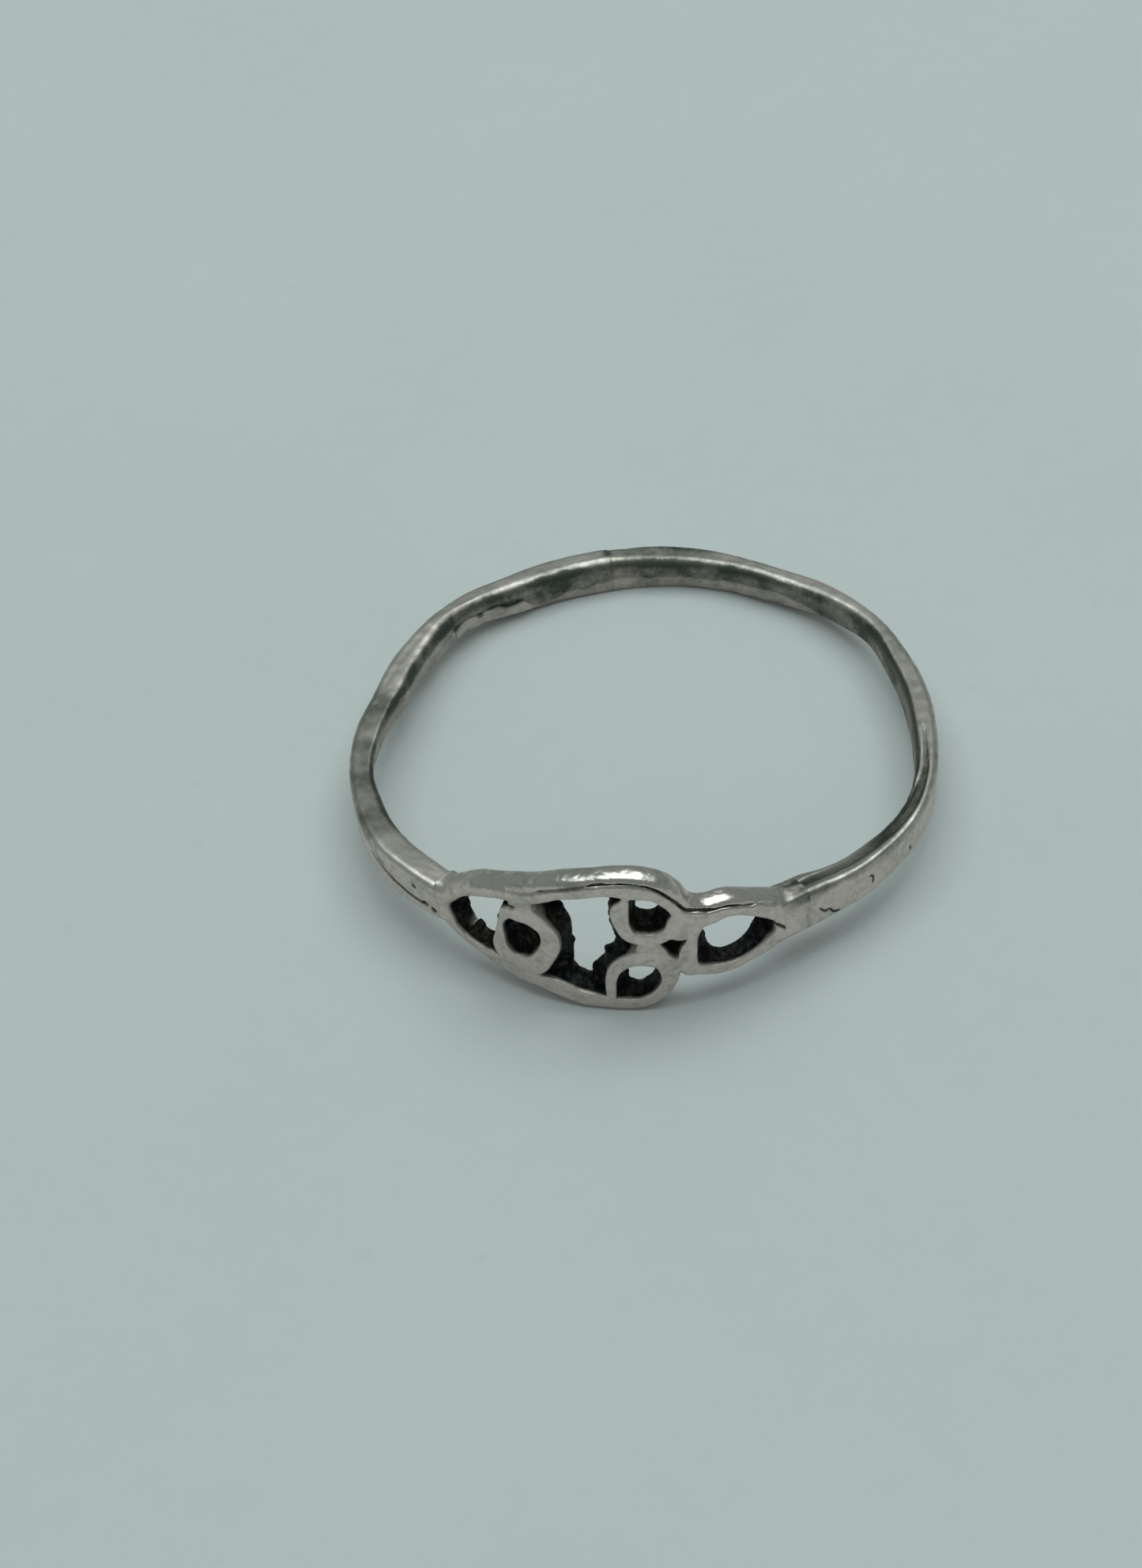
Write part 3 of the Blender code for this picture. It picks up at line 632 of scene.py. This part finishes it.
def surface_of(field):
    """The zero surface of a field, negative inside, as points in grid units and quads (surface nets)."""
    inside = field < 0
    shape = np.array(field.shape) - 1
    corners = [np.array(c) for c in np.ndindex(2, 2, 2)]
    full = sum(view.astype(int) for view in windows(inside, corners, shape))
    active = (full > 0) & (full < 8)
    index = np.full(tuple(shape), -1)
    index[active] = np.arange(active.sum())
    cells = np.argwhere(active)
    total = np.zeros((len(cells), 3))
    count = np.zeros((len(cells), 1))
    quads = []
    for axis in range(3):
        along = np.eye(3, dtype=int)[axis]
        for corner in corners:
            if corner[axis]:
                continue
            a = field[tuple((cells + corner).T)]
            b = field[tuple((cells + corner + along).T)]
            cut = ((a < 0) != (b < 0))[:, None]
            share = np.divide(a, a - b, out=np.zeros_like(a), where=cut[:, 0])[:, None]
            total += cut * (corner + share * along)
            count += cut
        u, v = np.eye(3, dtype=int)[[(axis + 1) % 3, (axis + 2) % 3]]
        low = tuple(slice(0 if i == axis else 1, -1) for i in range(3))
        high = tuple(slice(1, None) if i == axis else slice(1, -1) for i in range(3))
        starts = inside[low]
        spots = np.argwhere(starts != inside[high]) + (1 - along)
        ring = np.stack([index[tuple((spots - o).T)] for o in (u + v, v, 0 * u, u)], axis=1)
        outward = inside[tuple(spots.T)]
        quads.append(np.where(outward[:, None], ring, ring[:, ::-1]))
    return cells + total / count, np.concatenate(quads)


def sample(grid, points):
    """A grid's values between its nodes, at points in grid units."""
    base = np.clip(points.astype(int), 0, np.array(grid.shape) - 2)
    part = points - base
    value = 0
    for corner in np.ndindex(2, 2, 2):
        share = np.prod(np.where(np.array(corner) == 1, part, 1 - part), axis=1)
        value = value + share * grid[tuple((base + corner).T)]
    return value


def largest_body(points, quads):
    """The mesh without loose crumbs."""
    label = np.arange(len(points))
    while True:
        lowest = label[quads].min(axis=1)
        new = label.copy()
        for column in quads.T:
            np.minimum.at(new, column, lowest)
        new = new[new]
        if (new == label).all():
            break
        label = new
    kept = label == np.bincount(label).argmax()
    order = np.cumsum(kept) - 1
    return points[kept], order[quads[kept[quads[:, 0]]]]


def blurred(grid, reach, rounds=2):
    """The grid averaged over boxes that far each way, a few times over."""
    width = 2 * reach + 1
    for _ in range(rounds):
        for axis in range(3):
            edges = [(reach + 1, reach) if i == axis else (0, 0) for i in range(3)]
            total = np.moveaxis(np.pad(grid, edges, "edge").cumsum(axis), axis, 0)
            grid = np.moveaxis((total[width:] - total[:-width]) / width, 0, axis)
    return grid


def signed_volume(corners):
    """The volume inside quads with these corners, below nothing where they face inwards."""
    a, b, c, e = np.moveaxis(corners, 1, 0)
    return (a * np.cross(b, c) + a * np.cross(c, e)).sum() / 6


class Block:
    """One stretch of the ring: its field on a grid, with what the pieces cut from it need to know."""

    def __init__(self, s_span, z_span, crest):
        spans = (s_span, z_span, DEPTH_SPAN)
        self.origin = np.array([low for low, _ in spans])
        self.s, self.z, self.d = [np.arange(low, high, STEP) for low, high in spans]
        s, z, d = self.s, self.z, self.d
        self.field = shank_field(s, z, d)
        self.zone = np.zeros((len(s), len(z)))
        self.crease = np.full((len(s), len(z)), FAR)
        self.wires = {}
        if crest:
            self.wires = {name: wire_distance(smooth_path(path), s, z) for name, path in WIRES.items()}
            front, self.zone, self.crease = crest_field(s, z, d, self.wires)
            self.field = join(self.field, front, CREST_FILLET)
        self.field = self.field + relief(s, z, d)
        solid = np.clip(0.5 - self.field / STEP, 0, 1)
        self.crisp = blurred(solid, max(1, round(CRISP_REACH / STEP)))
        self.broad = blurred(solid, round(BROAD_REACH / STEP))
        self.slopes = np.gradient(self.field, STEP)

    def piece(self, name, territory):
        """Makes the metal where territory is negative, run on a little under its neighbours."""
        territory = np.broadcast_to(territory, self.field.shape)
        field = np.maximum(self.field + SINK * np.maximum(territory, 0), territory - OVERLAP)
        return self.mesh(name, field)

    def mesh(self, name, field, margin=2, pulls=2, most=0.4):
        """Makes a mesh object of a field on this block's grid, rolled up.

        Its points are pulled onto the surface, each by at most that share of a grid step.
        """
        spots = np.argwhere(field < 0)
        low = np.maximum(spots.min(axis=0) - margin, 0)
        high = spots.max(axis=0) + 1 + margin
        window = tuple(slice(a, b) for a, b in zip(low, high))
        points, quads = largest_body(*surface_of(untangled(field[window])))
        slopes = np.gradient(field[window])
        for _ in range(pulls):
            slope = np.stack([sample(g, points) for g in slopes], axis=1)
            pull = sample(field[window], points)[:, None] * slope / (slope ** 2).sum(axis=1)[:, None]
            points = points - np.clip(pull, -most, most)
        points = points + low
        world = rolled(self.origin + points * STEP)
        world[:, 2] = np.maximum(world[:, 2], 0)
        if signed_volume(world[quads]) < 0:
            quads = quads[:, ::-1]
        mesh = bpy.data.meshes.new(name)
        mesh.from_pydata(world.tolist(), [], quads.tolist())
        mesh.shade_smooth()
        self.describe(mesh, points)
        return add_object(name, mesh)

    def describe(self, mesh, points):
        """Stores the normals, and the attributes that the materials read, for points of the grid."""
        sheet = self.origin + points * STEP
        slope = np.stack([sample(g, points) for g in self.slopes], axis=1)
        mesh.normals_split_custom_set_from_vertices(rolled_normals(sheet, slope))
        inward = slope[:, 2] / np.linalg.norm(slope, axis=1)
        attributes = {
            "sheet": sheet,
            "edge": 0.5 - sample(self.crisp, points),
            "hollow": sample(self.broad, points) - 0.5,
            "opening": sample_flat(self.zone, points),
            "inward": inward,
            # painted shade in the crease, and dirt in the marks and the groove
            "crease_shade_and_dirt": crease_shade_and_dirt_at(sheet, sample_flat(self.crease, points)),
            "rubbed": (wall_line(sheet[:, 0]) - sheet[:, 1]) * np.clip(inward * 2, 0, 1),
            "green": green_at(sheet),
            # light walls: painted light on one, wear on the other
            "pale": lit_and_worn_walls_at(sheet),
            # painted shade on the upper side of the band
            "top_shade": top_shade_at(sheet),
        }
        for name, values in attributes.items():
            store(mesh, name, values)


def rolled_normals(sheet, slope, nudge=0.01):
    """Unit normals in the world for a field's slopes at points of the sheet."""
    run, rise, sink = [rolled(sheet + step) - rolled(sheet - step) for step in np.eye(3) * nudge]
    normal = (
        slope[:, :1] * np.cross(rise, sink) + slope[:, 1:2] * np.cross(sink, run)
        + slope[:, 2:] * np.cross(run, rise)
    )
    normal *= np.sign(np.einsum("ij,ij->i", run, np.cross(rise, sink)))[:, None]
    return normal / np.linalg.norm(normal, axis=1)[:, None]


def sample_flat(grid, points):
    """The values of a grid of s by z at points in grid units."""
    return sample(np.repeat(grid[:, :, None], 2, axis=2), points * (1, 1, 0))


def crease_shade_and_dirt_at(sheet, crease):
    """How dark each point is made: painted shade in the crease under the moulding, and grime in the marks
    and in the groove: 0 to 1.
    """
    s, z, d = sheet.T
    darkness, loss = CREASE_SHADE_DARKNESS
    # painted shade along the crease under the moulding; the marks below add their dirt
    shade_and_dirt = (1 - ramp(crease, *CREASE_SHADE)) * (darkness - ramp(s, *CREASE_SHADE_END) * loss)
    core, edge = MARKS_DIRT
    for path, width, _ in MARKS:
        line = smooth_path([(a, b, 0) for a, b in path])[:, :2]
        away = np.min([np.hypot(s - a, z - b) for a, b in line], axis=0)
        shade_and_dirt = np.maximum(shade_and_dirt, 1 - ramp(away, core * width, edge * width))
    shade_and_dirt = shade_and_dirt * (1 - ramp(d, *MARKS_DIRT_FADE))
    groove = smooth_path(TOP_GROOVE)
    away = np.min([np.hypot(s - a, d - b) - width / 2 for a, b, width in groove], axis=0)
    groove_dirt = (1 - ramp(away, *TOP_GROOVE_DIRT)) * ramp(z, *UPPER_SIDE) * TOP_GROOVE_DARKNESS
    return np.maximum(shade_and_dirt, groove_dirt)


def green_at(sheet):
    """How green the verdigris makes each point: 0 to 1."""
    s, z, d = sheet.T
    green = np.zeros(len(s))
    for angle, height, depth, along, across in GREEN_SPOTS:
        run = np.radians(hoop_angle(s) - angle) * CREST_RADIUS / along
        rise, sink = (z - height) / across, (d - depth) / GREEN_REACH_IN
        away = np.sqrt(run ** 2 + rise ** 2 + sink ** 2)
        green = np.maximum(green, 1 - ramp(away, *GREEN_FADE))
    return green


def lit_and_worn_walls_at(sheet):
    """How far down the walls of the openings are made light, as painted light on one wall and as wear on
    the other: 0 to 1.
    """
    s, z, _ = sheet.T
    pale = np.zeros(len(s))
    for a, b, reach in LIT_AND_WORN_WALLS:
        pale = np.maximum(pale, 1 - ramp(np.hypot(s - a, z - b), LIT_AND_WORN_CORE * reach, reach))
    return pale


def top_shade_at(sheet):
    """How strongly painted shade darkens the upper side of the band: 0 to 1."""
    angle = hoop_angle(sheet[:, 0])
    top_shade = np.zeros(len(angle))
    start, end = SHADED_ARCS_FADE
    for low, high, share in SHADED_ARCS:
        arc = share * ramp(angle, low - start, low + start)
        top_shade = np.maximum(top_shade, arc * (1 - ramp(angle, high - end, high + end)))
    return top_shade * ramp(sheet[:, 1], *SHADED_ARCS_HEIGHTS)


def add_object(name, data):
    """A new object in the scene."""
    added = bpy.data.objects.new(name, data)
    bpy.context.scene.collection.objects.link(added)
    return added


def store(mesh, name, values):
    """Keeps one value, or one vector, for each point of the mesh."""
    kind, key = ("FLOAT", "value") if values.ndim == 1 else ("FLOAT_VECTOR", "vector")
    layer = mesh.attributes.new(name, kind, "POINT")
    layer.data.foreach_set(key, np.ascontiguousarray(values, np.float32).ravel())


# ---- the pieces

def span(axis, low, high):
    """Territory between two places on an axis, negative inside."""
    return np.maximum(low - axis, axis - high)


def crest_pieces(block):
    """The crest's wires, each the metal that is nearest to it, and the solder between them."""
    between = span(block.s, *CREST_ENDS)[:, None]
    wires = {name: block.wires[name] for name in WIRES if not name.endswith("_solder")}
    metal = np.min(list(wires.values()), axis=0)
    solder = {name: np.maximum(block.wires[name], -metal) for name in WIRES if name.endswith("_solder")}
    filled = np.min(list(solder.values()), axis=0)
    for name, own in wires.items():
        others = np.min([w for other, w in wires.items() if other != name], axis=0)
        share = np.maximum(np.maximum((own - others) / 2, -filled), between)
        yield name, block.piece(name + "_metal", share[:, :, None])
    for name, own in solder.items():
        yield name, block.piece(name + "_metal", np.maximum(own, between)[:, :, None])


def band_pieces(front, right, left):
    """The two halves of the band and the films of solder that hold them."""
    seam = SEAM_S - SOLDER_FILM / 2, SEAM_S + SOLDER_FILM / 2
    low, high = CREST_ENDS[0] - SOLDER_FILM, CREST_ENDS[1] + SOLDER_FILM
    cuts = (
        ("right_shoulder_solder", front, CREST_ENDS[1], high),
        ("left_shoulder_solder", front, low, CREST_ENDS[0]),
        ("shank_right", right, high, seam[0]),
        ("back_seam_solder", right, *seam),
        ("shank_left", left, seam[1] - AROUND, low),
    )
    for name, block, start, end in cuts:
        yield name, block.piece(name + "_metal", span(block.s, start, end)[:, None, None])
    yield "sizing_solder", left.mesh("sizing_solder_metal", smear_field(left.s, left.z, left.d))


# ---- materials

class Nodes:
    """A short way to build a node tree."""

    def __init__(self, material):
        material.use_nodes = True
        self.tree = material.node_tree
        self.shader = self.tree.nodes["Principled BSDF"]

    def add(self, kind, settings=None, **inputs):
        """A new node with these settings, and values or links for these inputs."""
        node = self.tree.nodes.new("ShaderNode" + kind)
        for key, value in (settings or {}).items():
            setattr(node, key, value)
        for key, value in inputs.items():
            self.set(node.inputs[key], value)
        return node

    def set(self, socket, value):
        if isinstance(value, bpy.types.NodeSocket):
            self.tree.links.new(value, socket)
        else:
            socket.default_value = value

    def attribute(self, name, vector=False):
        node = self.add("Attribute", {"attribute_name": name})
        return node.outputs["Vector" if vector else "Fac"]

    def math(self, operation, *values, clamp=False):
        node = self.add("Math", {"operation": operation, "use_clamp": clamp})
        for socket, value in zip(node.inputs, values):
            self.set(socket, value)
        return node.outputs[0]

    def total(self, start, *shares):
        """The sum of a start and shares, each a socket, or a socket and its weight."""
        for share in shares:
            if isinstance(share, tuple):
                start = self.math("MULTIPLY_ADD", *share, start)
            else:
                start = self.math("ADD", start, share)
        return start

    def ramp(self, value, low, high, bottom=0.0, top=1.0):
        """From bottom to top as the value goes from low to high, smooth between."""
        ends = {"From Min": low, "From Max": high, "To Min": bottom, "To Max": top}
        node = self.add("MapRange", {"interpolation_type": "SMOOTHSTEP"}, Value=value, **ends)
        return node.outputs[0]

    def noise(self, vector, scale, detail=3.0, roughness=0.55, stretch=(1, 1, 1)):
        if stretch != (1, 1, 1):
            vector = self.add("Mapping", Vector=vector, Scale=stretch).outputs[0]
        node = self.add("TexNoise", Vector=vector, Scale=scale, Detail=detail, Roughness=roughness)
        return node.outputs["Fac"]

    def mix(self, share, first, second):
        node = self.add("Mix", {"data_type": "RGBA"}, Factor=share)
        for key, colour in (("A", first), ("B", second)):
            linked = isinstance(colour, bpy.types.NodeSocket)
            self.set(node.inputs[key], colour if linked else (*colour, 1))
        return node.outputs["Result"]


def silver_material(name, clean, rough, tarnish_bias):
    """Worn silver: clean on raised edges, a brown-green patina in hollows, sooty black with painted shade
    in the openings, and painted shade in the crease and on the band's upper side.
    """
    material = bpy.data.materials.new(name)
    n = Nodes(material)
    sheet = n.attribute("sheet", vector=True)
    place = n.add("SeparateXYZ", Vector=sheet).outputs
    along_hoop, depth = place["X"], place["Z"]
    names = ("edge", "hollow", "opening", "inward", "crease_shade_and_dirt", "rubbed", "green", "pale", "top_shade")
    edge, hollow, opening, inward, crease_shade_and_dirt, rubbed, green, pale, top_shade = map(n.attribute, names)
    crest = n.math("MULTIPLY", n.ramp(along_hoop, -6.2, -4.4), n.ramp(along_hoop, 4.6, 6.4, 1.0, 0.0))
    blotch = n.noise(sheet, scale=0.9, detail=4)
    mottle = n.noise(sheet, scale=4.5, detail=5, roughness=0.65)
    grain = n.noise(sheet, scale=17.0, detail=3, roughness=0.6)

    # Tarnish lies in the hollows and on the inner wall, but for the part that the finger rubs clean;
    # painted shade in the crease and on the band's upper side is added to it.
    inside = n.ramp(inward, 0.25, 0.7)
    wavering = n.math("ADD", rubbed, n.ramp(mottle, 0.3, 0.7, -0.06, 0.06))
    amount = n.total(
        tarnish_bias,
        (inside, 0.80),
        (n.math("MULTIPLY", inside, n.ramp(wavering, -0.05, 0.06)), -0.42),
        n.ramp(hollow, 0.02, 0.25, 0, 0.5),
        n.ramp(blotch, 0.35, 0.7, -0.14, 0.2),
        n.ramp(mottle, 0.3, 0.7, -0.08, 0.08),
        n.ramp(edge, 0.03, 0.2, 0, -0.35),
        # painted shade in the crease, with the dirt of the marks and the groove
        (crease_shade_and_dirt, 0.8),
        # painted shade on the upper side of the band
        (top_shade, 0.8),
    )
    tarnish_and_shade = n.math("MULTIPLY", amount, 1.0, clamp=True)

    # Sooty black and painted shade fill the openings, darker further down from just below their rims; they
    # start lower on the wall painted as lit and on the wall worn pale.
    lip = n.total(n.ramp(blotch, 0.35, 0.65, 0.0, 0.06), (pale, 0.06))
    fading = n.total(0.12, (pale, 0.22))
    below = n.math("DIVIDE", n.math("SUBTRACT", depth, lip), fading, clamp=True)
    soot_and_shade = n.math("MULTIPLY", n.ramp(opening, 0.3, 0.75), below)
    soot_and_shade = n.math("MULTIPLY", soot_and_shade, n.ramp(inward, 0.6, 0.95, 1.0, 0.45))
    soot_and_shade = n.math("MULTIPLY", soot_and_shade, n.ramp(mottle, 0.15, 0.6, 0.85, 1.0), clamp=True)
    # the painted shade in the crease and the dirt in the marks also take this black
    soot_and_shade = n.math("MAXIMUM", soot_and_shade, n.math("MULTIPLY", crease_shade_and_dirt, 0.75))

    worn = tuple(c * WORN_SHADE for c in clean)
    colour = n.mix(tarnish_and_shade, n.mix(n.ramp(mottle, 0.3, 0.7), clean, worn),
                   n.mix(n.ramp(blotch, 0.35, 0.65), *TARNISH_AND_SHADE_COLOURS))
    verdigris = n.math("MULTIPLY", green, n.ramp(mottle, 0.3, 0.6, 0.4, 0.9))
    colour = n.mix(verdigris, colour, GREEN_COLOUR)
    colour = n.mix(soot_and_shade, colour, n.mix(n.ramp(blotch, 0.4, 0.65), *SOOT_AND_SHADE_COLOURS))
    n.set(n.shader.inputs["Base Color"], colour)
    n.shader.inputs["Metallic"].default_value = 1.0

    gloss = n.total(
        n.ramp(grain, 0.25, 0.75, rough - 0.03, rough + 0.04),
        n.ramp(mottle, 0.3, 0.7, -0.03, 0.05),
        (tarnish_and_shade, 0.16),
        (soot_and_shade, 0.18),
        (crest, -0.15),
        (top_shade, -0.06),
        n.ramp(opening, 0.4, 0.9, 0.0, 0.25),
    )
    n.set(n.shader.inputs["Roughness"], gloss)

    # Fine wear: scratches along the band, crinkled metal from the torch, and grain.
    scratches = n.noise(sheet, scale=3.0, detail=4, roughness=0.6, stretch=(0.25, 3.0, 2.0))
    folds = n.math("SUBTRACT", n.noise(sheet, scale=2.2, detail=1, roughness=0.4), 0.5)
    crinkle = n.math("MULTIPLY", n.math("ABSOLUTE", folds), n.total(0.8, (crest, 3.5)))
    height = n.total(crinkle, (scratches, 0.35), (grain, 0.03))
    bump = n.add("Bump", Height=height, Strength=1.0, Distance=BUMP)
    n.set(n.shader.inputs["Normal"], bump.outputs[0])
    return material


def floor_material():
    """A pale blue-grey board with a faint mottling."""
    material = bpy.data.materials.new("floor")
    n = Nodes(material)
    place = n.add("TexCoord").outputs["Object"]
    cloud = n.noise(place, scale=60.0, detail=4)
    speck = n.noise(place, scale=900.0)
    fleck = n.noise(place, scale=800.0, detail=1)
    share = n.total(
        n.ramp(cloud, 0.3, 0.7, top=0.7),
        n.ramp(speck, 0.3, 0.7, top=0.3),
        n.ramp(fleck, 0.74, 0.82, top=4.0),
    )
    shaded = tuple(c * FLOOR_SHADE for c in FLOOR_COLOUR)
    n.set(n.shader.inputs["Base Color"], n.mix(share, FLOOR_COLOUR, shaded))
    n.shader.inputs["Roughness"].default_value = 0.75
    n.shader.inputs["Specular IOR Level"].default_value = 0.25
    return material


# ---- the scene round the ring

def add_floor():
    """The surface that the ring lies on."""
    mesh = bpy.data.meshes.new("floor")
    far = FLOOR_SIZE / 2
    corners = [(-far, -far, 0), (far, -far, 0), (far, far, 0), (-far, far, 0)]
    mesh.from_pydata(corners, [], [(0, 1, 2, 3)])
    mesh.materials.append(floor_material())
    add_object("floor", mesh)


def add_lamp(name, place, size, strength, colour):
    """An oblong lamp that looks at the ring; strength is its brightness as seen."""
    light = bpy.data.lights.new(name, "AREA")
    light.shape = "RECTANGLE"
    light.size, light.size_y = size
    light.color = colour
    light.energy = strength * size[0] * size[1] * np.pi
    lamp = add_object(name, light)
    lamp.location = place
    lamp.rotation_euler = Vector(place).to_track_quat("Z", "Y").to_euler()


def add_world():
    """Soft light from all sides."""
    world = bpy.data.worlds.new("room")
    world.use_nodes = True
    background = world.node_tree.nodes["Background"]
    background.inputs["Color"].default_value = (*ROOM_COLOUR, 1)
    background.inputs["Strength"].default_value = ROOM_STRENGTH
    bpy.context.scene.world = world


def add_camera():
    """A camera that looks down at the crest from a little to the right."""
    turns = (CAMERA_AZIMUTH, CAMERA_ELEVATION, CAMERA_ROLL)
    azimuth, elevation, roll = [radians(turn) for turn in turns]
    back = Vector((sin(azimuth) * cos(elevation), -cos(azimuth) * cos(elevation), sin(elevation)))
    right = Vector((cos(azimuth), sin(azimuth), 0))
    up = back.cross(right)
    tilted_right = cos(roll) * right + sin(roll) * up
    tilted_up = cos(roll) * up - sin(roll) * right
    centre = Vector((SHIFT[0], SHIFT[1], LIFT)) * MM
    data = bpy.data.cameras.new("camera")
    data.lens = CAMERA_LENS
    data.clip_start = CLIP_START
    place = centre + (CAMERA_DISTANCE * back - AIM[0] * tilted_right - AIM[1] * tilted_up) * MM
    turn = Matrix((tilted_right, tilted_up, back)).transposed().to_4x4()
    camera = add_object("camera", data)
    camera.matrix_world = Matrix.Translation(place) @ turn
    bpy.context.scene.camera = camera


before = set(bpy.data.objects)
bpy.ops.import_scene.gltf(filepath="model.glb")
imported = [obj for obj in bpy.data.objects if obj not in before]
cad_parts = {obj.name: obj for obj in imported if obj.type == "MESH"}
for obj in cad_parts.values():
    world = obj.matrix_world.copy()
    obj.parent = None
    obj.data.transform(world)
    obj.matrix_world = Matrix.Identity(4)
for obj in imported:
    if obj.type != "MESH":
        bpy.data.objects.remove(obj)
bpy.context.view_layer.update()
add_camera()

front = Block(*FRONT_SPANS, crest=True)
right = Block((BAND_START, SEAM_S + MARGIN), BAND_SPAN, crest=False)
left = Block((SEAM_S - AROUND - MARGIN, -BAND_START), BAND_SPAN, crest=False)
silver = silver_material("worn_silver", SILVER_COLOUR, rough=0.37, tarnish_bias=0.02)
solder = silver_material("dull_solder", SOLDER_COLOUR, rough=0.40, tarnish_bias=0.08)
for pieces in (crest_pieces(front), band_pieces(front, right, left)):
    for node, piece in pieces:
        joined = node.endswith("_solder")
        piece.data.materials.append(solder if joined else silver)
        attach(piece, "root")
        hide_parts(node)

add_floor()
add_world()
for lamp in LAMPS:
    add_lamp(*lamp)
bpy.context.scene.view_settings.view_transform = "Standard"
